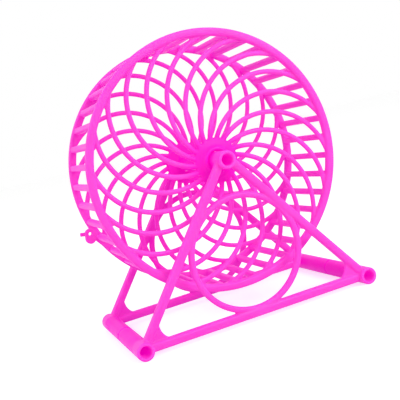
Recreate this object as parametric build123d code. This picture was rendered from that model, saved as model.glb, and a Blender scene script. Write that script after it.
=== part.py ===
from build123d import *
import math
import os

# Exercise wheel for a small pet: a drum of slats between two faces of curved spokes, turning on
# a hollow axle that two plugged-together side frames carry.
# Lengths are in millimetres and angles in degrees. X runs to the right, Y to the back and Z up.
# The origin lies on the floor, midway between the base tubes and midway between the side frames.

# Rim of the drum: two rings, with slats from ring to ring
wheel_radius = 60.0
wheel_width = 48.4
ring_height = 3.7
ring_depth = 3.7
slat_count = 40
slat_first_angle = 7.0
slat_width = 2.9
slat_height = 3.0
slat_inset = 0.6

# Spokes: arcs that leave the hub almost along its edge and reach the ring at a slant
spoke_count = 20
spoke_width = 2.3
spoke_depth = 2.1
spoke_facets = 8
spoke_recess = 0.3
spoke_arc_radius_share = 0.5167
spoke_arc_offset_share = 0.5017
spoke_root_overlap = 1.4
spoke_tip_inset = 1.8
front_spoke_turn = -83.25
rear_spoke_turn = -87.75

# Hub of each face: a funnel that flares from the spokes to a short collar
hub_root_radius = 10.4
hub_collar_radius = 6.3
hub_collar_rise = 2.0
hub_flare_rise = 1.1
axle_clearance = 0.4

# Lug on the rear ring: a long lobe with an eye at its upper end, a short nub and a sloping foot
eye_angle = 201.0
eye_height = 0.95
eye_hole_radius = 0.9
lobe_angle = 203.05
lobe_height = 2.1
lobe_radius = 2.5
lobe_depth = 3.0
foot_top_angle = 205.2
foot_top_height = 1.2
foot_end_angle = 208.4
nub_angle = 171.5
nub_reach = 4.75
nub_width = 1.8
nub_depth = 2.0

# Tubes of the stand: one axle and two base tubes, each in two halves that plug together
tube_radius = 4.05
tube_bore_radius = 2.65
stand_depth = 73.0
joint_offset = -1.2
socket_radius = 2.9
socket_depth = 8.3
plug_length = 8.0
plug_clearance = 0.1
bore_floor = 3.0

# Side frames: two legs, a base bar, a ring between them and a web in each lower corner
tube_spacing = 112.2
axle_rise = 70.2
leg_width = 3.9
leg_top_offset = 1.5
base_bar_height = 4.2
frame_depth = 4.1
boss_protrusion = 2.2
bar_chamfer = 0.9
brace_inset = 0.2
brace_width = 2.85
brace_depth = 3.2
web_radius = 7.5
web_reach = 11.1
web_depth = 1.4

# How far a cut runs past what it cuts
cut_overrun = 1.0

# Places worked out from the sizes above
axle_height = tube_radius + axle_rise
corner_x = tube_spacing / 2
frame_y = stand_depth / 2 - boss_protrusion - frame_depth / 2
leg_length = math.hypot(corner_x, axle_rise)
leg_top_x = leg_top_offset * axle_rise / leg_length
leg_top_z = axle_height + leg_top_offset * corner_x / leg_length
leg_slope = math.atan2(leg_top_z - tube_radius, corner_x - leg_top_x)
inscribed_radius = corner_x * math.tan(leg_slope / 2)
brace_height = tube_radius + inscribed_radius
brace_radius = inscribed_radius - brace_inset
spoke_arc_radius = wheel_radius * spoke_arc_radius_share
spoke_arc_offset = wheel_radius * spoke_arc_offset_share
ring_inner_side = wheel_width / 2 - ring_depth
spoke_inner_side = ring_inner_side + spoke_recess
spoke_outer_side = spoke_inner_side + spoke_depth
hub_bore_radius = tube_radius + axle_clearance

# Axes of the wheel, seen from the front and from the back: Z of each points out of the wheel
front_axes = Plane((0, 0, axle_height), x_dir=(1, 0, 0), z_dir=(0, -1, 0)).location
rear_axes = Plane((0, 0, axle_height), x_dir=(-1, 0, 0), z_dir=(0, 1, 0)).location


def softened_bar(width, depth, chamfer_size):
    """Section of a moulded bar, with its four corners taken off."""
    return chamfer(Rectangle(width, depth).vertices(), chamfer_size)


def ring():
    """Rim ring of one face, about the wheel's axis."""
    middle = Pos(wheel_radius - ring_height / 2, wheel_width / 2 - ring_depth / 2)
    return revolve(Plane.XZ * middle * Rectangle(ring_height, ring_depth), Axis.Z, 360)


def arc_angle(radius):
    """Angle along the spoke's arc at which the spoke is this far from the wheel's axis."""
    squares = spoke_arc_offset**2 + spoke_arc_radius**2 - radius**2
    return math.degrees(math.acos(squares / (2 * spoke_arc_offset * spoke_arc_radius)))


def arc_point(angle, radius):
    """Point at this angle along the spoke's arc, on a circle of this radius about its centre."""
    turn = math.radians(angle)
    return (spoke_arc_offset - radius * math.cos(turn), radius * math.sin(turn))


def spoke():
    """One curved spoke in short straight facets, from inside the hub's edge to inside the ring."""
    start = arc_angle(hub_root_radius - spoke_root_overlap)
    end = arc_angle(wheel_radius - spoke_tip_inset)
    angles = [start + (end - start) * step / spoke_facets for step in range(spoke_facets + 1)]
    inner = [arc_point(angle, spoke_arc_radius - spoke_width / 2) for angle in angles]
    outer = [arc_point(angle, spoke_arc_radius + spoke_width / 2) for angle in reversed(angles)]
    band = make_face(Polyline(*inner, *outer, close=True))
    return extrude(Pos(0, 0, spoke_inner_side) * band, spoke_depth)


def hub():
    """Funnel hub of one face, with its bore for the axle."""
    rim = spoke_outer_side + hub_collar_rise
    outline = Polyline(
        (hub_bore_radius, ring_inner_side),
        (hub_root_radius, ring_inner_side),
        (hub_root_radius, spoke_outer_side),
        (hub_collar_radius, spoke_outer_side + hub_flare_rise),
        (hub_collar_radius, rim),
        (hub_bore_radius, rim),
        close=True,
    )
    return revolve(Plane.XZ * make_face(outline), Axis.Z, 360)


def face(spoke_turn):
    """One face of the drum: hub, curved spokes and ring, in one moulding."""
    pitch = 360 / spoke_count
    spokes = [Rot(0, 0, spoke_turn + pitch * index) * spoke() for index in range(spoke_count)]
    return ring() + (hub() + spokes)


def slats():
    """The drum's slats, straight from ring to ring."""
    bar = extrude(Rectangle(slat_height, slat_width), ring_inner_side, both=True)
    outward = Pos(wheel_radius - slat_inset - slat_height / 2, 0, 0)
    pitch = 360 / slat_count
    turns = [Rot(0, 0, slat_first_angle + pitch * index) for index in range(slat_count)]
    return [front_axes * turn * outward * bar for turn in turns]


def rim_point(height, angle):
    """Point at this height over the rim and this angle, in the wheel's front axes."""
    turn = math.radians(angle)
    return Vector(math.cos(turn), math.sin(turn)) * (wheel_radius + height)


def rim_eye():
    """Lug on the outside of the rear ring: a long lobe with an eye, a nub and a sloping foot."""
    eye = rim_point(eye_height, eye_angle)
    lobe_end = rim_point(lobe_height, lobe_angle)
    lobe_length = (lobe_end - eye).length
    lean = math.degrees(math.atan2(lobe_end.Y - eye.Y, lobe_end.X - eye.X))
    at_eye = Pos(eye.X, eye.Y)
    lobe = at_eye * Rot(0, 0, lean) * Pos(lobe_length / 2, 0) * SlotCenterToCenter(lobe_length, 2 * lobe_radius)
    foot = make_face(Polyline(
        rim_point(-lobe_height, eye_angle),
        eye,
        rim_point(foot_top_height, foot_top_angle),
        rim_point(0, foot_end_angle),
        rim_point(-lobe_height, foot_end_angle),
        close=True,
    ))
    nub = at_eye * Rot(0, 0, nub_angle) * Pos(nub_reach / 2, 0) * Rectangle(nub_reach, nub_width)
    lug = extrude(lobe + foot - Circle(wheel_radius), lobe_depth / 2, both=True)
    lug += extrude(nub, nub_depth / 2, both=True)
    lug -= extrude(at_eye * Circle(eye_hole_radius), lobe_depth / 2 + cut_overrun, both=True)
    return front_axes * Pos(0, 0, ring_depth / 2 - wheel_width / 2) * lug


def turned(outline):
    """Solid of a tube: its closed outline, as radius and place along Y, turned about Y."""
    return revolve(make_face(Polyline(*outline, close=True)), Axis.Y, 360)


def socket_tube():
    """Front half of a tube: open from its mouth to the joint."""
    mouth = -stand_depth / 2
    return turned([
        (tube_bore_radius, mouth),
        (tube_radius, mouth),
        (tube_radius, joint_offset),
        (socket_radius, joint_offset),
        (socket_radius, joint_offset - socket_depth),
        (tube_bore_radius, joint_offset - socket_depth),
    ])


def plug_tube():
    """Rear half of a tube: a blind bore, and a plug that fills the front half's end."""
    mouth = stand_depth / 2
    plug_radius = socket_radius - plug_clearance
    tip = joint_offset - plug_length
    return turned([
        (0, tip),
        (plug_radius, tip),
        (plug_radius, joint_offset),
        (tube_radius, joint_offset),
        (tube_radius, mouth),
        (tube_bore_radius, mouth),
        (tube_bore_radius, joint_offset + bore_floor),
        (0, joint_offset + bore_floor),
    ])


def frame_bar(start, end, width):
    """Rounded straight bar of a side frame, between two points of the frame's middle plane."""
    line = Line((start[0], 0, start[1]), (end[0], 0, end[1]))
    across = Plane(line @ 0, x_dir=(0, 1, 0), z_dir=line % 0)
    section = softened_bar(frame_depth, width, bar_chamfer)
    return extrude(across * section, line.length)


def corner_web(side):
    """Thin web between leg and base bar, with a round free edge."""
    corner = Vector(side * corner_x, tube_radius)
    along_leg = Vector(-side * math.cos(leg_slope), math.sin(leg_slope))
    between = Vector(-side * math.cos(leg_slope / 2), math.sin(leg_slope / 2))
    centre = corner + between * (web_reach + web_radius)
    on_base = Vector(centre.X, corner.Y)
    on_leg = corner + along_leg * (on_base - corner).length
    web = make_face(Polyline(corner, on_base, centre, on_leg, close=True))
    web -= Pos(centre.X, centre.Y) * Circle(web_radius)
    return extrude(Plane.XZ * web, web_depth / 2, both=True)


def brace_ring():
    """Ring inscribed between the legs and the base bar, which it runs into."""
    start = Plane((brace_radius - brace_width / 2, 0, brace_height), x_dir=(1, 0, 0), z_dir=(0, 0, 1))
    return revolve(start * Rectangle(brace_width, brace_depth), Axis((0, 0, brace_height), (0, 1, 0)), 360)


def side_frame():
    """Side frame about its own middle plane, cut out round the three tubes it holds."""
    corners = [(-corner_x, tube_radius), (corner_x, tube_radius)]
    frame = frame_bar(corners[0], corners[1], base_bar_height)
    for side, corner in ((-1, corners[0]), (1, corners[1])):
        frame += frame_bar(corner, (side * leg_top_x, leg_top_z), leg_width)
        frame += corner_web(side)
    frame += brace_ring()
    for x, z in corners + [(0, axle_height)]:
        frame -= Pos(x, 0, z) * Rot(90, 0, 0) * Cylinder(tube_radius, frame_depth + 2 * cut_overrun)
    return frame


def stand():
    """Nodes of the stand, each with its solids."""
    nodes = {
        "front_side_frame": [Pos(0, -frame_y, 0) * side_frame()],
        "rear_side_frame": [Pos(0, frame_y, 0) * side_frame()],
    }
    places = {
        "left_base_tube": (-corner_x, tube_radius),
        "right_base_tube": (corner_x, tube_radius),
        "axle_tube": (0, axle_height),
    }
    for name, (x, z) in places.items():
        nodes["front_" + name] = [Pos(x, 0, z) * socket_tube()]
        nodes["rear_" + name] = [Pos(x, 0, z) * plug_tube()]
    return nodes


def wheel():
    """Nodes of the wheel, each with its solids."""
    return {
        "front_face": [front_axes * face(front_spoke_turn)],
        "rear_face": [rear_axes * face(rear_spoke_turn)],
        "slats": slats(),
        "rim_eye": [rim_eye()],
    }


def main():
    """Write one STEP file for each node."""
    os.makedirs("parts", exist_ok=True)
    for name, shapes in {**stand(), **wheel()}.items():
        solids = [solid for shape in shapes for solid in shape.solids()]
        node = solids[0] if len(solids) == 1 else Compound(solids)
        node.label = name
        export_step(node, os.path.join("parts", name + ".step"))
        print(name, len(solids), "solids", round(node.volume, 1), "mm3")


main()
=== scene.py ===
"""Looks of a moulded plastic exercise wheel for a small pet, on its plug-together stand.

Lengths in the classes are millimetres. The meshes are in metres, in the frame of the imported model:
X to the right, Y to the back along the axle, Z up, the origin on the floor under the stand's middle.
"""

import logging
import math
from dataclasses import dataclass, replace
from enum import Enum
from typing import Callable

import bpy
from mathutils import Euler, Matrix, Vector

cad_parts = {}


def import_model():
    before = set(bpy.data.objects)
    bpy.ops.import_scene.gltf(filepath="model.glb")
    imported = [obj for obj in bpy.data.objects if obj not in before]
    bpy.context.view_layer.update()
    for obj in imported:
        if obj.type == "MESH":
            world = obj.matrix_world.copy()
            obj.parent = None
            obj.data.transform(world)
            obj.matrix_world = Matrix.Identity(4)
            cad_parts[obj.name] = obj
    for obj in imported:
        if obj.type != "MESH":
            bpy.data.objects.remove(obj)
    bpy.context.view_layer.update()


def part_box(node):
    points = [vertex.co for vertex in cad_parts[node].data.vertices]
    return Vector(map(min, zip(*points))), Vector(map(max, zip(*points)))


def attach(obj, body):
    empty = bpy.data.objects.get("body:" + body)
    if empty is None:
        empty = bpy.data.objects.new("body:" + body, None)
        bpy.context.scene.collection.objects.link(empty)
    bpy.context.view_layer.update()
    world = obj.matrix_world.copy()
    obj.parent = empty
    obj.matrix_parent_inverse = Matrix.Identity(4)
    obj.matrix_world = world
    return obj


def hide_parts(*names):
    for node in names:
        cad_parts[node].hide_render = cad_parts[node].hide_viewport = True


log = logging.getLogger("exercise_wheel")

MM = 0.001
# Points nearer than this, in metres, become one.
MERGE_GAP = 1e-6
# Flats across the rounded edge of a bar.
EDGE_SEGMENTS = 5
# How far one round of smoothing moves a point towards its neighbours' middle.
SOFTEN_SHARE = 0.5
# Stands up a piece that was modelled lying about Z.
UPRIGHT = Matrix.Rotation(math.pi / 2, 4, "X")
FRAME_NODES = ("side_frame", "left_base_tube", "right_base_tube", "axle_tube")

Profile = list[tuple[float, float]]
Points = tuple[tuple[float, float], ...]


class Side(Enum):
    """Which face of the wheel or frame of the stand a moulding is."""

    FRONT = "front"
    REAR = "rear"

    @property
    def sign(self) -> int:
        """-1 in front of the wheel's middle plane and 1 behind it."""
        return -1 if self is Side.FRONT else 1


# Degrees that the first spoke of each face is turned by, about the axle.
SPOKE_TURN = {Side.FRONT: -83.25, Side.REAR: -87.75}


# Modelling helpers


def start_clean() -> None:
    """Go to object mode with nothing selected."""
    if bpy.context.object and bpy.context.object.mode != "OBJECT":
        bpy.ops.object.mode_set(mode="OBJECT")
    bpy.ops.object.select_all(action="DESELECT")


def pick(*pieces: bpy.types.Object) -> None:
    """Select these pieces only, with the first one active.

    Args:
        pieces: The pieces to select.
    """
    start_clean()
    for piece in pieces:
        piece.select_set(True)
    bpy.context.view_layer.objects.active = pieces[0]


def settle(piece: bpy.types.Object, matrix: Matrix | None = None) -> bpy.types.Object:
    """Put a piece's place into its mesh, after moving the mesh by a matrix.

    Args:
        piece: The piece, whose object then sits at the origin.
        matrix: Where to move the mesh, or None to leave it.

    Returns:
        The same piece.
    """
    bpy.context.view_layer.update()
    piece.data.transform((matrix or Matrix.Identity(4)) @ piece.matrix_world)
    piece.matrix_world = Matrix.Identity(4)
    piece.data.update()
    return piece


def close_up(piece: bpy.types.Object) -> None:
    """Merge doubled points, fill open ends and turn all faces outwards.

    Args:
        piece: The piece to close.
    """
    pick(piece)
    bpy.ops.object.mode_set(mode="EDIT")
    bpy.ops.mesh.select_all(action="SELECT")
    bpy.ops.mesh.remove_doubles(threshold=MERGE_GAP)
    bpy.ops.mesh.fill_holes(sides=0)
    bpy.ops.mesh.select_all(action="SELECT")
    bpy.ops.mesh.normals_make_consistent(inside=False)
    bpy.ops.object.mode_set(mode="OBJECT")


def lathe(name: str, outline: Profile, segments: int, solid_ends: bool = False) -> bpy.types.Object:
    """Turn an outline about Z, loop by loop.

    Args:
        name: Name of the new piece.
        outline: Corners of the section, as radius and height in millimetres.
        segments: How many flats go round.
        solid_ends: Cap the first and last corner with flat discs, instead of joining one to the other.

    Returns:
        The turned piece.
    """
    start_clean()
    radius, height = outline[0]
    bpy.ops.mesh.primitive_circle_add(vertices=segments, radius=radius * MM, location=(0, 0, height * MM))
    piece = bpy.context.object
    piece.name = name
    bpy.ops.object.mode_set(mode="EDIT")
    bpy.ops.mesh.select_all(action="SELECT")
    corners = outline[1:] if solid_ends else outline[1:] + outline[:1]
    for next_radius, next_height in corners:
        rise = (0, 0, (next_height - height) * MM)
        bpy.ops.mesh.extrude_edges_move(TRANSFORM_OT_translate={"value": rise})
        share = next_radius / radius
        bpy.ops.transform.resize(value=(share, share, 1))
        radius, height = next_radius, next_height
    bpy.ops.object.mode_set(mode="OBJECT")
    settle(piece)
    close_up(piece)
    return piece


def mark(piece: bpy.types.Object, test: Callable[[Vector], bool]) -> None:
    """Select the points of a piece that pass a test, for the next step in edit mode.

    Args:
        piece: The piece, which becomes the only one picked.
        test: Says whether a point, in metres, is selected.
    """
    pick(piece)
    for group in (piece.data.polygons, piece.data.edges):
        group.foreach_set("select", [False] * len(group))
    for vertex in piece.data.vertices:
        vertex.select = test(vertex.co)
    bpy.context.tool_settings.mesh_select_mode = (True, False, False)


def rounded_outline(
    low: tuple[float, float], high: tuple[float, float], corner: float, steps: int
) -> Profile:
    """Rectangle with rounded corners, as an outline to turn or extrude.

    Args:
        low: Lowest radius and height.
        high: Highest radius and height.
        corner: Radius of the corners.
        steps: Points along each corner, less one.

    Returns:
        The outline's points, counter-clockwise.
    """
    centres = [
        (high[0] - corner, high[1] - corner),
        (low[0] + corner, high[1] - corner),
        (low[0] + corner, low[1] + corner),
        (high[0] - corner, low[1] + corner),
    ]
    points = []
    for quarter, centre in enumerate(centres):
        for step in range(steps + 1):
            turn = math.radians(90 * (quarter + step / steps))
            points.append((centre[0] + corner * math.cos(turn), centre[1] + corner * math.sin(turn)))
    return points


def rounded_bar(name: str, size: tuple[float, float, float], corner: float) -> bpy.types.Object:
    """Bar along Z, centred on the origin, with its four long edges rounded.

    Args:
        name: Name of the new piece.
        size: Width along X, depth along Y and length along Z.
        corner: Radius of the long edges.

    Returns:
        The bar.
    """
    start_clean()
    bpy.ops.mesh.primitive_cube_add(size=1, scale=tuple(length * MM for length in size))
    piece = bpy.context.object
    piece.name = name
    settle(piece)
    for edge in piece.data.edges:
        first, second = (piece.data.vertices[index].co for index in edge.vertices)
        edge.select = abs(first.z - second.z) > MM
    for polygon in piece.data.polygons:
        polygon.select = False
    bpy.context.tool_settings.mesh_select_mode = (False, True, False)
    bpy.ops.object.mode_set(mode="EDIT")
    bpy.ops.mesh.bevel(offset=corner * MM, segments=EDGE_SEGMENTS, affect="EDGES")
    bpy.ops.object.mode_set(mode="OBJECT")
    return piece


def cut_away(piece: bpy.types.Object, cutter: bpy.types.Object) -> None:
    """Take a cutter's space out of a piece, and delete the cutter.

    Args:
        piece: The piece to cut.
        cutter: A closed shell.
    """
    pick(piece)
    modifier = piece.modifiers.new("cut", "BOOLEAN")
    modifier.operation = "DIFFERENCE"
    modifier.solver = "EXACT"
    modifier.object = cutter
    bpy.ops.object.modifier_apply(modifier=modifier.name)
    bpy.data.objects.remove(cutter)


def copy_of(piece: bpy.types.Object, matrix: Matrix) -> bpy.types.Object:
    """Copy a piece with its own mesh, moved by a matrix.

    Args:
        piece: The piece to copy.
        matrix: Where the copy goes.

    Returns:
        The copy.
    """
    twin = piece.copy()
    twin.data = piece.data.copy()
    twin.data.transform(matrix)
    bpy.context.scene.collection.objects.link(twin)
    return twin


def join(name: str, pieces: list[bpy.types.Object]) -> bpy.types.Object:
    """Join pieces into one object.

    Args:
        name: Name of the joined piece.
        pieces: The pieces, which are used up.

    Returns:
        The joined piece.
    """
    pick(*pieces)
    if len(pieces) > 1:
        bpy.ops.object.join()
    pieces[0].name = name
    pieces[0].data.name = name
    return pieces[0]


def shade_smooth(piece: bpy.types.Object, angle: float = 40) -> None:
    """Shade a piece smooth, with sharp edges where its faces meet at more than an angle in degrees."""
    pick(piece)
    bpy.ops.object.shade_smooth_by_angle(angle=math.radians(angle))


def fuse(piece: bpy.types.Object, grain: float, rounds: int) -> bpy.types.Object:
    """Turn overlapping shells into one moulding, with small fillets where they meet.

    Args:
        piece: The joined shells.
        grain: Size of the remesh's cells in millimetres.
        rounds: How often the surface is smoothed afterwards.

    Returns:
        The same piece.
    """
    pick(piece)
    piece.data.remesh_voxel_size = grain * MM
    piece.data.remesh_voxel_adaptivity = 0
    bpy.ops.object.voxel_remesh()
    modifier = piece.modifiers.new("soften", "SMOOTH")
    modifier.factor = SOFTEN_SHARE
    modifier.iterations = rounds
    bpy.ops.object.modifier_apply(modifier=modifier.name)
    bpy.ops.object.shade_smooth()
    return piece


# Finishes


class Effect(Enum):
    """Shader groups that more than one plastic uses."""

    MOULD_SKIN = "mould_skin"
    # Mask for painted shade: where a moulding's colour is deepened because that part lies in shade.
    PAINTED_SHADE = "painted_shade_zone"


STREAK_DETAIL = 3
STREAK_DISTORTION = 0.6
GRAIN_DETAIL = 4
# The streaks' values between these give roughnesses between the two that follow.
STREAK_RANGE = (0.3, 0.7)
ROUGHNESS_RANGE = (0.42, 0.56)


def mould_skin_group() -> bpy.types.NodeTree:
    """Faint flow streaks and fine grain of moulded plastic, built once.

    Returns:
        A group with inputs Vector, Streak Size and Grain Size, and outputs Tone, Roughness and Height.
    """
    found = bpy.data.node_groups.get(Effect.MOULD_SKIN.value)
    if found:
        return found
    group = bpy.data.node_groups.new(Effect.MOULD_SKIN.value, "ShaderNodeTree")
    sockets = group.interface
    sockets.new_socket("Vector", in_out="INPUT", socket_type="NodeSocketVector")
    for name in ("Streak Size", "Grain Size"):
        sockets.new_socket(name, in_out="INPUT", socket_type="NodeSocketFloat")
    for name in ("Tone", "Roughness", "Height"):
        sockets.new_socket(name, in_out="OUTPUT", socket_type="NodeSocketFloat")
    nodes, links = group.nodes, group.links
    inside = nodes.new("NodeGroupInput")
    outside = nodes.new("NodeGroupOutput")

    streaks = nodes.new("ShaderNodeTexNoise")
    streaks.inputs["Detail"].default_value = STREAK_DETAIL
    streaks.inputs["Distortion"].default_value = STREAK_DISTORTION
    links.new(inside.outputs["Vector"], streaks.inputs["Vector"])
    links.new(inside.outputs["Streak Size"], streaks.inputs["Scale"])

    grain = nodes.new("ShaderNodeTexNoise")
    grain.inputs["Detail"].default_value = GRAIN_DETAIL
    links.new(inside.outputs["Vector"], grain.inputs["Vector"])
    links.new(inside.outputs["Grain Size"], grain.inputs["Scale"])

    gloss = nodes.new("ShaderNodeMapRange")
    gloss.inputs["From Min"].default_value, gloss.inputs["From Max"].default_value = STREAK_RANGE
    gloss.inputs["To Min"].default_value, gloss.inputs["To Max"].default_value = ROUGHNESS_RANGE
    links.new(streaks.outputs["Fac"], gloss.inputs["Value"])

    links.new(streaks.outputs["Fac"], outside.inputs["Tone"])
    links.new(gloss.outputs["Result"], outside.inputs["Roughness"])
    links.new(grain.outputs["Fac"], outside.inputs["Height"])
    return group


def painted_shade_group() -> bpy.types.NodeTree:
    """Mask of the zone where shade is painted, built once.

    Returns:
        A group with inputs Vector, Centre, Weights, Near and Far, and the output Mask. The mask is 1
        nearer to the centre than Near and 0 beyond Far, as the weights measure it.
    """
    found = bpy.data.node_groups.get(Effect.PAINTED_SHADE.value)
    if found:
        return found
    group = bpy.data.node_groups.new(Effect.PAINTED_SHADE.value, "ShaderNodeTree")
    sockets = group.interface
    for name in ("Vector", "Centre", "Weights"):
        sockets.new_socket(name, in_out="INPUT", socket_type="NodeSocketVector")
    for name in ("Near", "Far"):
        sockets.new_socket(name, in_out="INPUT", socket_type="NodeSocketFloat")
    sockets.new_socket("Mask", in_out="OUTPUT", socket_type="NodeSocketFloat")
    nodes, links = group.nodes, group.links
    inside = nodes.new("NodeGroupInput")
    outside = nodes.new("NodeGroupOutput")

    away = nodes.new("ShaderNodeVectorMath")
    away.operation = "SUBTRACT"
    links.new(inside.outputs["Vector"], away.inputs[0])
    links.new(inside.outputs["Centre"], away.inputs[1])
    weighed = nodes.new("ShaderNodeVectorMath")
    weighed.operation = "MULTIPLY"
    links.new(away.outputs["Vector"], weighed.inputs[0])
    links.new(inside.outputs["Weights"], weighed.inputs[1])
    distance = nodes.new("ShaderNodeVectorMath")
    distance.operation = "LENGTH"
    links.new(weighed.outputs["Vector"], distance.inputs[0])

    fade = nodes.new("ShaderNodeMapRange")
    fade.interpolation_type = "SMOOTHSTEP"
    fade.inputs["To Min"].default_value = 1.0
    fade.inputs["To Max"].default_value = 0.0
    links.new(distance.outputs["Value"], fade.inputs["Value"])
    links.new(inside.outputs["Near"], fade.inputs["From Min"])
    links.new(inside.outputs["Far"], fade.inputs["From Max"])
    links.new(fade.outputs["Result"], outside.inputs["Mask"])
    return group


@dataclass(frozen=True)
class PaintedShadeZone:
    """Where shade is painted, in metres: all that is near a centre, along the axes that have weight."""

    centre: tuple[float, float, float]
    weights: tuple[float, float, float]
    near: float
    far: float


@dataclass(frozen=True)
class Plastic:
    """Satin plastic that light goes a little way into, with a painted glow that lifts its shaded parts.

    The colour runs from deep to bright along the flow streaks, and inside the zone it turns to the
    deepened colour, which is painted shade. Light goes scatter_metres into the plastic, times the share of
    scatter for red, green and blue.
    """

    name: str
    deep: tuple[float, float, float]
    bright: tuple[float, float, float]
    # Painted shade: the deeper colour laid inside the zone, where the part lies in shade.
    deepened: tuple[float, float, float]
    zone: PaintedShadeZone | None = None
    ior: float = 1.49
    specular: float = 0.2
    scatter_weight: float = 0.8
    scatter: tuple[float, float, float] = (1.0, 0.3, 0.8)
    scatter_metres: float = 0.004
    # Painted glow: an even emission in the plastic's colour, which lifts its shaded parts.
    painted_glow: tuple[float, float, float] = (0.9, 0.0, 1.0)
    painted_glow_strength: float = 0.27
    streaks_per_metre: float = 55.0
    grains_per_metre: float = 900.0
    bump: float = 0.06
    bump_metres: float = 0.0002

    def material(self) -> bpy.types.Material:
        """Make the material, or give the one made before.

        Returns:
            The material.
        """
        found = bpy.data.materials.get(self.name)
        if found:
            return found
        material = bpy.data.materials.new(self.name)
        material.use_nodes = True
        nodes, links = material.node_tree.nodes, material.node_tree.links
        shader = nodes["Principled BSDF"]
        shader.inputs["IOR"].default_value = self.ior
        shader.inputs["Specular IOR Level"].default_value = self.specular
        # Painted glow, which lifts the shaded parts.
        shader.inputs["Emission Color"].default_value = (*self.painted_glow, 1)
        shader.inputs["Emission Strength"].default_value = self.painted_glow_strength
        shader.inputs["Subsurface Weight"].default_value = self.scatter_weight
        shader.inputs["Subsurface Radius"].default_value = self.scatter
        shader.inputs["Subsurface Scale"].default_value = self.scatter_metres

        place = nodes.new("ShaderNodeTexCoord")
        skin = nodes.new("ShaderNodeGroup")
        skin.node_tree = mould_skin_group()
        skin.inputs["Streak Size"].default_value = self.streaks_per_metre
        skin.inputs["Grain Size"].default_value = self.grains_per_metre
        links.new(place.outputs["Object"], skin.inputs["Vector"])

        tone = nodes.new("ShaderNodeMix")
        tone.data_type = "RGBA"
        tone.inputs["A"].default_value = (*self.deep, 1)
        tone.inputs["B"].default_value = (*self.bright, 1)
        links.new(skin.outputs["Tone"], tone.inputs["Factor"])
        # Painted shade inside the zone.
        colour = self.with_painted_shade(material.node_tree, place, tone) if self.zone else tone
        links.new(colour.outputs["Result"], shader.inputs["Base Color"])
        links.new(skin.outputs["Roughness"], shader.inputs["Roughness"])

        bump = nodes.new("ShaderNodeBump")
        bump.inputs["Strength"].default_value = self.bump
        bump.inputs["Distance"].default_value = self.bump_metres
        links.new(skin.outputs["Height"], bump.inputs["Height"])
        links.new(bump.outputs["Normal"], shader.inputs["Normal"])
        return material

    def with_painted_shade(
        self, tree: bpy.types.NodeTree, place: bpy.types.Node, tone: bpy.types.Node
    ) -> bpy.types.Node:
        """Paint shade: deepen the colour inside the zone.

        Args:
            tree: Node tree of the material.
            place: Its texture coordinates.
            tone: The node that gives the colour outside the painted shade.

        Returns:
            The node that gives the colour of both.
        """
        mask = tree.nodes.new("ShaderNodeGroup")
        mask.node_tree = painted_shade_group()
        mask.inputs["Centre"].default_value = self.zone.centre
        mask.inputs["Weights"].default_value = self.zone.weights
        mask.inputs["Near"].default_value = self.zone.near
        mask.inputs["Far"].default_value = self.zone.far
        tree.links.new(place.outputs["Object"], mask.inputs["Vector"])
        colour = tree.nodes.new("ShaderNodeMix")
        colour.data_type = "RGBA"
        colour.inputs["B"].default_value = (*self.deepened, 1)
        tree.links.new(mask.outputs["Mask"], colour.inputs["Factor"])
        tree.links.new(tone.outputs["Result"], colour.inputs["A"])
        return colour

    def dress(self, piece: bpy.types.Object) -> None:
        """Give a piece this finish only."""
        piece.data.materials.clear()
        piece.data.materials.append(self.material())


HOT_PINK = Plastic(
    "hot_pink_plastic",
    deep=(0.72, 0.046, 0.34),
    bright=(0.75, 0.086, 0.45),
    # Painted shade colour, for the zones that lie in shade.
    deepened=(0.73, 0.004, 0.35),
)


# The wheel


@dataclass(frozen=True)
class WheelSizes:
    """Sizes that the wheel's pieces share."""

    axle_height: float
    radius: float
    half_width: float = 24.2
    ring_section: float = 3.7

    @property
    def inner_side(self) -> float:
        """Distance of a ring's inner side from the wheel's middle plane."""
        return self.half_width - self.ring_section


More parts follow.
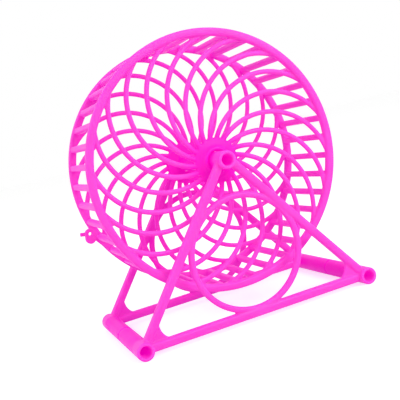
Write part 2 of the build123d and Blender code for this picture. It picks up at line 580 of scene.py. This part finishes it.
@dataclass
class WheelFace:
    """One face of the wheel: rim ring, curved spokes and funnel hub, in one moulding.

    The points of hub_foot are a radius and a rise above the ring's inner side, and those of hub_flare a
    radius and a rise above the spokes' outer side. A spoke is an arc of arc_radius about a point that is
    arc_offset from the axle, from root_radius out to tip_inset inside the rim.
    """

    side: Side
    wheel: WheelSizes
    ring_corner: float = 1.2
    ring_corner_steps: int = 4
    ring_segments: int = 180
    spoke_count: int = 20
    spoke_width: float = 2.35
    spoke_depth: float = 2.1
    spoke_recess: float = 0.3
    spoke_points: int = 14
    spoke_steps: int = 28
    arc_radius: float = 31.0
    arc_offset: float = 30.1
    root_radius: float = 9.0
    tip_inset: float = 1.8
    hub_segments: int = 96
    hub_bore: float = 4.15
    bore_edge: float = 0.15
    hub_foot: Points = ((9.9, 0.0), (10.35, 0.5))
    hub_flare: Points = (
        (10.35, -0.4),
        (9.8, 0.05),
        (8.6, 0.3),
        (7.5, 0.7),
        (6.75, 1.15),
        (6.35, 1.55),
        (6.2, 1.85),
        (5.9, 2.0),
    )
    collar_rise: float = 2.0
    collar_edge_rise: float = 1.8
    collar_edge_width: float = 0.3
    recess_radius: float = 4.75
    recess_depth: float = 1.2
    # Painted shade: the colour is deepened inside the first radius from the axle and fades out by the
    # second.
    painted_shade_radius: tuple[float, float] = (9.0, 19.0)
    grain: float = 0.475
    smoothing: int = 3

    @property
    def finish(self) -> Plastic:
        """Pink with painted shade on the hub, fading out along the spokes.

        Returns:
            The finish of this face.
        """
        near, far = self.painted_shade_radius
        zone = PaintedShadeZone((0, 0, self.wheel.axle_height * MM), (1, 0, 1), near * MM, far * MM)
        return replace(HOT_PINK, name="hot_pink_face", zone=zone)

    @property
    def spoke_outside(self) -> float:
        """Distance of the spokes' outer side from the wheel's middle plane."""
        return self.wheel.inner_side + self.spoke_recess + self.spoke_depth

    def placed(self) -> Matrix:
        """Work out where the face goes.

        Returns:
            The matrix that takes a face modelled about Z, outer side up, to its place on the wheel.
        """
        across = Vector((-self.side.sign, 0, 0))
        out = Vector((0, self.side.sign, 0))
        turn = Matrix((across, Vector((0, 0, 1)), out)).transposed().to_4x4()
        return Matrix.Translation((0, 0, self.wheel.axle_height * MM)) @ turn

    def ring(self) -> bpy.types.Object:
        """Turn the rim ring with its rounded section.

        Returns:
            The ring.
        """
        wheel = self.wheel
        low = (wheel.radius - wheel.ring_section, wheel.inner_side)
        high = (wheel.radius, wheel.half_width)
        outline = rounded_outline(low, high, self.ring_corner, self.ring_corner_steps)
        return lathe("ring", outline, self.ring_segments)

    def hub(self) -> bpy.types.Object:
        """Turn the funnel hub: a concave flare up to a short collar, recessed round the axle.

        Returns:
            The hub.
        """
        top = self.spoke_outside
        back = self.wheel.inner_side
        recess_floor = top + self.collar_rise - self.recess_depth
        outline = [(self.hub_bore, back + self.bore_edge), (self.hub_bore + self.bore_edge, back)]
        outline += [(radius, back + rise) for radius, rise in self.hub_foot]
        outline += [(radius, top + rise) for radius, rise in self.hub_flare]
        outline += [
            (self.recess_radius + self.collar_edge_width, top + self.collar_rise),
            (self.recess_radius, top + self.collar_edge_rise),
            (self.recess_radius, recess_floor),
            (self.hub_bore, recess_floor),
        ]
        return lathe("hub", outline, self.hub_segments)

    def arc_angle(self, radius: float) -> float:
        """Angle along a spoke's arc where it is this far from the wheel's axis, in radians."""
        squares = self.arc_offset**2 + self.arc_radius**2 - radius**2
        return math.acos(squares / (2 * self.arc_offset * self.arc_radius))

    def spoke(self) -> bpy.types.Object:
        """Spin an oval section along a spoke's arc.

        Returns:
            One curved spoke.
        """
        start = self.arc_angle(self.root_radius)
        end = self.arc_angle(self.wheel.radius - self.tip_inset)
        height = (self.spoke_outside - self.spoke_depth / 2) * MM
        start_clean()
        # The circle is one millimetre across, so its scale is the section's width and depth.
        bpy.ops.mesh.primitive_circle_add(
            vertices=self.spoke_points,
            radius=0.5 * MM,
            location=((self.arc_offset - self.arc_radius) * MM, 0, height),
            rotation=(math.pi / 2, 0, 0),
        )
        piece = bpy.context.object
        piece.name = "spoke"
        piece.scale = (self.spoke_width, self.spoke_depth, 1)
        centre = Vector((self.arc_offset * MM, 0, 0))
        there = Matrix.Translation(centre) @ Matrix.Rotation(-start, 4, "Z") @ Matrix.Translation(-centre)
        settle(piece, there)
        pick(piece)
        bpy.ops.object.mode_set(mode="EDIT")
        bpy.ops.mesh.select_all(action="SELECT")
        bpy.ops.mesh.spin(steps=self.spoke_steps, angle=end - start, center=centre, axis=(0, 0, 1))
        bpy.ops.object.mode_set(mode="OBJECT")
        close_up(piece)
        return piece

    def build(self) -> bpy.types.Object:
        """Model, fuse, place and dress the face.

        Returns:
            The finished face.
        """
        spoke = self.spoke()
        pitch = 2 * math.pi / self.spoke_count
        first = math.radians(SPOKE_TURN[self.side])
        turned = [
            copy_of(spoke, Matrix.Rotation(first + pitch * index, 4, "Z"))
            for index in range(self.spoke_count)
        ]
        bpy.data.objects.remove(spoke)
        name = f"{self.side.value}_face_moulding"
        face = join(name, [self.ring(), self.hub(), *turned])
        fuse(face, self.grain, self.smoothing)
        settle(face, self.placed())
        self.finish.dress(face)
        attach(face, "wheel")
        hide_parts(f"{self.side.value}_face")
        return face


@dataclass
class Drum:
    """The slats of the drum, from ring to ring."""

    wheel: WheelSizes
    slat_count: int = 40
    first_angle: float = 7.0
    slat_width: float = 2.9
    slat_height: float = 3.0
    slat_inset: float = 0.6
    corner: float = 0.9
    seat: float = 0.5
    finish: Plastic = HOT_PINK

    def build(self) -> bpy.types.Object:
        """Model one slat, copy it round and dress the set.

        Returns:
            The finished set of slats.
        """
        length = 2 * (self.wheel.inner_side + self.seat)
        slat = rounded_bar("slat", (self.slat_height, self.slat_width, length), self.corner)
        radius = self.wheel.radius - self.slat_inset - self.slat_height / 2
        settle(slat, Matrix.Translation((radius * MM, 0, 0)))
        pitch = 2 * math.pi / self.slat_count
        first = math.radians(self.first_angle)
        place = Matrix.Translation((0, 0, self.wheel.axle_height * MM)) @ UPRIGHT
        turned = [
            copy_of(slat, place @ Matrix.Rotation(first + pitch * index, 4, "Z"))
            for index in range(self.slat_count)
        ]
        bpy.data.objects.remove(slat)
        slats = join("drum_slats", turned)
        shade_smooth(slats)
        self.finish.dress(slats)
        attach(slats, "wheel")
        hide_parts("slats")
        return slats


@dataclass
class RimEye:
    """Lug on the outside of the rear ring: a long lobe with an eye, a nub and a sloping foot.

    Angles are in degrees about the axle, apart from the nub's, and heights are above the rim. The nub
    starts nub_start beyond the eye's edge and ends nub_reach from the eye's middle.
    """

    wheel: WheelSizes
    ring_plane: float
    segments: int = 48
    depth: float = 3.0
    eye_angle: float = 201.0
    eye_height: float = 0.95
    hole_radius: float = 0.9
    lobe_angle: float = 203.05
    lobe_height: float = 2.1
    lobe_radius: float = 2.5
    lobe_core: float = 0.4
    lobe_corner: float = 0.45
    lobe_corner_steps: int = 2
    lobe_discs: int = 5
    foot_start_height: float = 0.0
    foot_end_angle: float = 208.4
    foot_end_height: float = -1.1
    foot_width: float = 2.4
    foot_corner: float = 0.5
    nub_angle: float = 171.5
    nub_start: float = 0.6
    nub_reach: float = 4.75
    nub_width: float = 1.8
    nub_depth: float = 2.0
    nub_corner: float = 0.6
    grain: float = 0.16
    smoothing: int = 6
    finish: Plastic = HOT_PINK

    def rim_point(self, height: float, angle: float) -> Vector:
        """Point this far above the rim at this angle, in metres, in the wheel's own plane."""
        turn = math.radians(angle)
        return Vector((math.cos(turn), math.sin(turn), 0)) * (self.wheel.radius + height) * MM

    def lobe(self) -> list[bpy.types.Object]:
        """Set round discs in a row from the eye down, which fuse into one long lobe.

        Returns:
            The discs.
        """
        low = (self.lobe_core, -self.depth / 2)
        high = (self.lobe_radius, self.depth / 2)
        outline = rounded_outline(low, high, self.lobe_corner, self.lobe_corner_steps)
        disc = lathe("lobe", outline, self.segments)
        first = self.rim_point(self.eye_height, self.eye_angle)
        last = self.rim_point(self.lobe_height, self.lobe_angle)
        shares = [step / (self.lobe_discs - 1) for step in range(self.lobe_discs)]
        discs = [copy_of(disc, Matrix.Translation(first.lerp(last, share))) for share in shares]
        bpy.data.objects.remove(disc)
        return discs

    def foot(self) -> bpy.types.Object:
        """Lay a bar that slopes from the lobe down to the ring.

        Returns:
            The foot.
        """
        first = self.rim_point(self.foot_start_height, self.lobe_angle)
        last = self.rim_point(self.foot_end_height, self.foot_end_angle)
        along = last - first
        size = (self.foot_width, self.depth, along.length / MM)
        bar = rounded_bar("foot", size, self.foot_corner)
        lean = Matrix.Rotation(math.atan2(along.y, along.x), 4, "Z") @ Matrix.Rotation(math.pi / 2, 4, "Y")
        turn = Matrix.Rotation(math.pi / 2, 4, "Z")
        return settle(bar, Matrix.Translation((first + last) / 2) @ lean @ turn)

    def nub(self) -> bpy.types.Object:
        """Lay a short finger that points away from the lobe.

        Returns:
            The nub.
        """
        inner = self.hole_radius + self.nub_start
        size = (self.nub_width, self.nub_depth, self.nub_reach - inner)
        piece = rounded_bar("nub", size, self.nub_corner)
        lie = Matrix.Rotation(math.pi / 2, 4, "Y") @ Matrix.Rotation(math.pi / 2, 4, "Z")
        out = Matrix.Translation(((self.nub_reach + inner) / 2 * MM, 0, 0))
        lean = Matrix.Rotation(math.radians(self.nub_angle), 4, "Z")
        eye = Matrix.Translation(self.rim_point(self.eye_height, self.eye_angle))
        return settle(piece, eye @ lean @ out @ lie)

    def build(self) -> bpy.types.Object:
        """Model, fuse, drill, place and dress the lug.

        Returns:
            The finished lug.
        """
        lug = join("rim_eye_moulding", [*self.lobe(), self.foot(), self.nub()])
        fuse(lug, self.grain, self.smoothing)
        start_clean()
        bpy.ops.mesh.primitive_cylinder_add(
            vertices=self.segments,
            radius=self.hole_radius * MM,
            depth=2 * self.depth * MM,
            location=self.rim_point(self.eye_height, self.eye_angle),
        )
        cut_away(lug, settle(bpy.context.object))
        place = Matrix.Translation((0, self.ring_plane * MM, self.wheel.axle_height * MM))
        settle(lug, place @ UPRIGHT)
        shade_smooth(lug)
        self.finish.dress(lug)
        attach(lug, "wheel")
        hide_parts("rim_eye")
        return lug


# The stand


@dataclass
class SideFrame:
    """One half of the stand: a triangular frame with a ring in it and three tube halves.

    The points of mouth_cone are how far the bore has widened and how deep behind the mouth that is. Those
    of mouth_edge and joint_groove are how far the tube's outside has stepped in, and how deep behind the
    mouth or how far from the joint that is.
    """

    side: Side
    axle_height: float
    corner_x: float
    tube_radius: float
    mouth: float
    joint: float
    frame_depth: float = 4.1
    boss_protrusion: float = 2.2
    leg_width: float = 3.9
    leg_top_offset: float = 1.5
    base_height: float = 4.2
    bar_corner: float = 1.4
    brace_width: float = 2.85
    brace_depth: float = 3.2
    brace_inset: float = 0.2
    brace_corner: float = 1.2
    brace_corner_steps: int = 3
    brace_segments: int = 128
    web_radius: float = 7.5
    web_reach: float = 11.1
    web_depth: float = 1.4
    web_segments: int = 96
    bore_radius: float = 2.65
    bore_floor: float = 3.0
    core_segments: int = 64
    tube_segments: int = 72
    mouth_cone: Points = ((0.0, 0.5), (0.15, 0.1), (0.45, 0.0))
    mouth_edge: Points = ((0.5, 0.0), (0.12, 0.15), (0.0, 0.5))
    joint_groove: Points = ((0.0, 0.6), (0.55, 0.02))
    joint_gap: float = 0.02
    socket_radius: float = 2.9
    socket_depth: float = 8.3
    plug_radius: float = 2.8
    plug_length: float = 8.0
    plug_edge: float = 0.5
    # Painted shade: the tubes between the frames are coloured deeper within the first distance from the
    # middle plane, fading out by the second.
    painted_shade_depth: tuple[float, float] = (27.0, 30.5)
    painted_shade_rise_weight: float = 0.09
    grain: float = 0.38
    bar_smoothing: int = 1
    smoothing: int = 2

    @property
    def finish(self) -> Plastic:
        """Pink with painted shade on the tubes between the two side frames.

        Height counts a little too, so on the axle the painted shade ends nearer to the wheel.

        Returns:
            The finish of this frame.
        """
        near, far = self.painted_shade_depth
        zone = PaintedShadeZone((0, 0, 0), (0, 1, self.painted_shade_rise_weight), near * MM, far * MM)
        return replace(HOT_PINK, name="hot_pink_frame", zone=zone)

    @property
    def plane(self) -> float:
        """Y of the frame's middle plane."""
        return self.side.sign * (self.mouth - self.boss_protrusion - self.frame_depth / 2)

    @property
    def leg_top(self) -> tuple[float, float]:
        """Find the upper end of the right leg's centre line.

        Returns:
            Its X and Z.
        """
        rise = self.axle_height - self.tube_radius
        length = math.hypot(self.corner_x, rise)
        return (
            self.leg_top_offset * rise / length,
            self.axle_height + self.leg_top_offset * self.corner_x / length,
        )

    @property
    def leg_slope(self) -> float:
        """Angle between a leg and the base bar, in radians."""
        top_x, top_z = self.leg_top
        return math.atan2(top_z - self.tube_radius, self.corner_x - top_x)

    def bar(self, start: tuple[float, float], end: tuple[float, float], width: float) -> bpy.types.Object:
        """Lay a rounded bar between two points of the frame's middle plane.

        Args:
            start: X and Z of one end.
            end: X and Z of the other end.
            width: Width of the bar in that plane.

        Returns:
            The bar.
        """
        first = Vector((start[0], self.plane, start[1])) * MM
        last = Vector((end[0], self.plane, end[1])) * MM
        along = last - first
        piece = rounded_bar("bar", (width, self.frame_depth, along.length / MM), self.bar_corner)
        lean = Matrix.Rotation(math.atan2(along.x, along.z), 4, "Y")
        return settle(piece, Matrix.Translation((first + last) / 2) @ lean)

    def brace(self) -> bpy.types.Object:
        """Inscribe a ring between the legs and the base bar.

        Returns:
            The ring.
        """
        inscribed = self.corner_x * math.tan(self.leg_slope / 2)
        outer = inscribed - self.brace_inset
        low = (outer - self.brace_width, -self.brace_depth / 2)
        high = (outer, self.brace_depth / 2)
        outline = rounded_outline(low, high, self.brace_corner, self.brace_corner_steps)
        piece = lathe("brace", outline, self.brace_segments)
        centre = Vector((0, self.plane, self.tube_radius + inscribed)) * MM
        return settle(piece, Matrix.Translation(centre) @ UPRIGHT)

    def web(self, hand: int) -> bpy.types.Object:
        """Thin web in a lower corner, with a round free edge.

        Args:
            hand: -1 for the left corner and 1 for the right one.

        Returns:
            The web.
        """
        corner = Vector((hand * self.corner_x, self.tube_radius))
        between = Vector((-hand * math.cos(self.leg_slope / 2), math.sin(self.leg_slope / 2)))
        centre = corner + between * (self.web_reach + self.web_radius)
        start_clean()
        bpy.ops.mesh.primitive_circle_add(
            vertices=self.web_segments,
            radius=self.web_radius * MM,
            location=(centre.x * MM, centre.y * MM, 0),
        )
        piece = bpy.context.object
        piece.name = "web"
        settle(piece)
        towards = (corner - centre).normalized()
        reach = math.cos(math.pi / 2 - self.leg_slope / 2)
        mark(piece, lambda point: (point.xy - centre * MM).normalized().dot(towards) < reach)
        bpy.ops.object.mode_set(mode="EDIT")
        bpy.ops.mesh.delete(type="VERT")
        bpy.ops.mesh.select_all(action="SELECT")
        bpy.ops.mesh.extrude_edges_move()
        bpy.ops.transform.resize(value=(0, 0, 1), center_override=(corner.x * MM, corner.y * MM, 0))
        bpy.ops.mesh.select_all(action="SELECT")
        bpy.ops.mesh.remove_doubles(threshold=MERGE_GAP)
        bpy.ops.object.mode_set(mode="OBJECT")
        deepened = piece.modifiers.new("thickness", "SOLIDIFY")
        deepened.thickness = self.web_depth * MM
        deepened.offset = 0
        bpy.ops.object.modifier_apply(modifier=deepened.name)
        settle(piece, Matrix.Translation((0, self.plane * MM, 0)) @ UPRIGHT)
        close_up(piece)
        return piece

    def core(self, x: float, z: float) -> bpy.types.Object:
        """Make a cylinder that clears the bars out of a tube, up to the middle of its wall.

        Args:
            x: X of the tube's axis.
            z: Z of the tube's axis.

        Returns:
            The cylinder.
        """
        start_clean()
        bpy.ops.mesh.primitive_cylinder_add(
            vertices=self.core_segments,
            radius=(self.bore_radius + self.tube_radius) / 2 * MM,
            depth=3 * self.frame_depth * MM,
            location=(x * MM, self.plane * MM, z * MM),
            rotation=(math.pi / 2, 0, 0),
        )
        return settle(bpy.context.object)

    def tube(self, x: float, z: float) -> bpy.types.Object:
        """Turn a tube half, open at its mouth: in front with a socket at the joint, behind with a plug.

        Args:
            x: X of the tube's axis.
            z: Z of the tube's axis.

        Returns:
            The tube half.
        """
        end = self.side.sign * self.joint
        face = end + self.joint_gap
        outline = [(self.bore_radius + wider, self.mouth - deep) for wider, deep in self.mouth_cone]
        outline += [(self.tube_radius - step, self.mouth - deep) for step, deep in self.mouth_edge]
        outline += [(self.tube_radius - step, end + away) for step, away in self.joint_groove]
        if self.side is Side.FRONT:
            deep = end + self.socket_depth
            outline += [(self.socket_radius, face), (self.socket_radius, deep), (self.bore_radius, deep)]
            piece = lathe("tube", outline, self.tube_segments)
        else:
            tip = end - self.plug_length
            outline.insert(0, (self.bore_radius, end + self.bore_floor))
            outline += [
                (self.plug_radius, face),
                (self.plug_radius, tip + self.plug_edge),
                (self.plug_radius - self.plug_edge, tip),
            ]
            piece = lathe("tube", outline, self.tube_segments, solid_ends=True)
        turn = Matrix.Rotation(-self.side.sign * math.pi / 2, 4, "X")
        return settle(piece, Matrix.Translation((x * MM, 0, z * MM)) @ turn)

    def build(self) -> bpy.types.Object:
        """Model, fuse and dress the frame with its tubes.

        Returns:
            The finished side frame.
        """
        left = (-self.corner_x, self.tube_radius)
        right = (self.corner_x, self.tube_radius)
        top_x, top_z = self.leg_top
        places = [left, right, (0, self.axle_height)]
        pieces = [
            self.bar(left, right, self.base_height),
            self.bar(left, (-top_x, top_z), self.leg_width),
            self.bar(right, (top_x, top_z), self.leg_width),
            self.brace(),
            self.web(-1),
            self.web(1),
        ]
        bars = fuse(join("bars", pieces), self.grain, self.bar_smoothing)
        cut_away(bars, join("cores", [self.core(x, z) for x, z in places]))
        tubes = [self.tube(x, z) for x, z in places]
        frame = join(f"{self.side.value}_frame_moulding", [bars, *tubes])
        fuse(frame, self.grain, self.smoothing)
        self.finish.dress(frame)
        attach(frame, "stand")
        covered = [f"{self.side.value}_{name}" for name in FRAME_NODES]
        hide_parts(*covered)
        return frame


# The studio


def background_rays(tree: bpy.types.NodeTree) -> bpy.types.NodeSocket:
    """Mask that is 1 for the rays that should see a white background: camera, glossy and transmission.

    Args:
        tree: Node tree of the floor's material or the world.

    Returns:
        The mask's output.
    """
    rays = tree.nodes.new("ShaderNodeLightPath")
    seen = rays.outputs["Is Camera Ray"]
    for kind in ("Is Glossy Ray", "Is Transmission Ray"):
        either = tree.nodes.new("ShaderNodeMath")
        either.operation = "MAXIMUM"
        tree.links.new(seen, either.inputs[0])
        tree.links.new(rays.outputs[kind], either.inputs[1])
        seen = either.outputs["Value"]
    return seen


@dataclass(frozen=True)
class Lamp:
    """A soft square lamp: its place and width in metres, and its power in watts."""

    name: str
    place: tuple[float, float, float]
    size: float
    power: float


@dataclass
class Studio:
    """Pale floor, soft lamps and the camera at the photograph's viewing angle.

    Places and sizes are in metres here, angles in degrees, and the lens and its sensor in millimetres.
    """

    camera_place: tuple[float, float, float] = (-0.11399, -0.32913, 0.09382)
    camera_angles: tuple[float, float, float] = (83.648, 13.572, -19.871)
    lens: float = 64.71
    sensor: float = 36.0
    nearest: float = 0.01
    floor_size: float = 6.0
    floor_tone: float = 0.65
    floor_roughness: float = 0.9
    floor_specular: float = 0.1
    floor_white: float = 0.63
    room_level: float = 0.5
    aim: tuple[float, float, float] = (0.0, 0.0, 0.07)
    lamps: tuple[Lamp, ...] = (
        Lamp("key_lamp", (0.4, -0.85, 0.55), size=0.5, power=7.9),
        Lamp("side_lamp", (-0.8, -0.1, 0.55), size=0.5, power=3.5),
    )

    def camera(self) -> None:
        """Place the camera."""
        start_clean()
        angles = Euler([math.radians(angle) for angle in self.camera_angles], "XYZ")
        bpy.ops.object.camera_add(location=self.camera_place, rotation=angles)
        camera = bpy.context.object
        camera.name = "photo_camera"
        camera.data.lens = self.lens
        camera.data.sensor_width = self.sensor
        camera.data.clip_start = self.nearest
        bpy.context.scene.camera = camera

    def floor(self) -> None:
        """Add the pale floor."""
        start_clean()
        bpy.ops.mesh.primitive_plane_add(size=self.floor_size)
        floor = bpy.context.object
        floor.name = "studio_floor"
        material = bpy.data.materials.new("pale_floor")
        material.use_nodes = True
        nodes, links = material.node_tree.nodes, material.node_tree.links
        shader = nodes["Principled BSDF"]
        shader.inputs["Base Color"].default_value = (self.floor_tone, self.floor_tone, self.floor_tone, 1)
        shader.inputs["Roughness"].default_value = self.floor_roughness
        shader.inputs["Specular IOR Level"].default_value = self.floor_specular
        shader.inputs["Emission Color"].default_value = (1, 1, 1, 1)
        white = nodes.new("ShaderNodeMath")
        white.operation = "MULTIPLY"
        white.inputs[1].default_value = self.floor_white
        links.new(background_rays(material.node_tree), white.inputs[0])
        links.new(white.outputs["Value"], shader.inputs["Emission Strength"])
        floor.data.materials.append(material)

    def light(self) -> None:
        """Add the lamps and a white world."""
        for lamp in self.lamps:
            start_clean()
            bpy.ops.object.light_add(type="AREA", location=lamp.place)
            light = bpy.context.object
            light.name = lamp.name
            light.data.size = lamp.size
            light.data.energy = lamp.power
            ray = Vector(self.aim) - Vector(lamp.place)
            light.rotation_euler = ray.to_track_quat("-Z", "Y").to_euler()
        world = bpy.data.worlds.new("white_room")
        bpy.context.scene.world = world
        world.use_nodes = True
        nodes, links = world.node_tree.nodes, world.node_tree.links
        background = nodes["Background"]
        background.inputs["Color"].default_value = (1, 1, 1, 1)
        level = nodes.new("ShaderNodeMapRange")
        level.inputs["To Min"].default_value = self.room_level
        level.inputs["To Max"].default_value = 1.0
        links.new(background_rays(world.node_tree), level.inputs["Value"])
        links.new(level.outputs["Result"], background.inputs["Strength"])

    def build(self) -> None:
        """Set up the view and the light."""
        self.camera()
        self.floor()
        self.light()
        bpy.context.scene.view_settings.view_transform = "Standard"


def middle_of(node: str) -> Vector:
    """Centre of a CAD node's box, in millimetres."""
    low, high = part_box(node)
    return (low + high) / 2 / MM


def main() -> None:
    """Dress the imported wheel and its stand."""
    logging.basicConfig(level=logging.INFO, format="%(message)s")
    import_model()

    axle_height = middle_of("front_axle_tube").z
    corner = middle_of("front_right_base_tube")
    rim_low, rim_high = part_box("front_face")
    wheel = WheelSizes(axle_height, radius=(rim_high.x - rim_low.x) / 2 / MM)
    axle_low, axle_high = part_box("front_axle_tube")
    mouth, joint = -axle_low.y / MM, axle_high.y / MM

    Studio().build()
    pieces = [WheelFace(side, wheel).build() for side in Side]
    pieces.append(Drum(wheel).build())
    pieces.append(RimEye(wheel, middle_of("rim_eye").y).build())
    for side in Side:
        pieces.append(SideFrame(side, axle_height, corner.x, corner.z, mouth, joint).build())
    for piece in pieces:
        log.info("%s: %d faces", piece.name, len(piece.data.polygons))


if __name__ == "__main__":
    main()
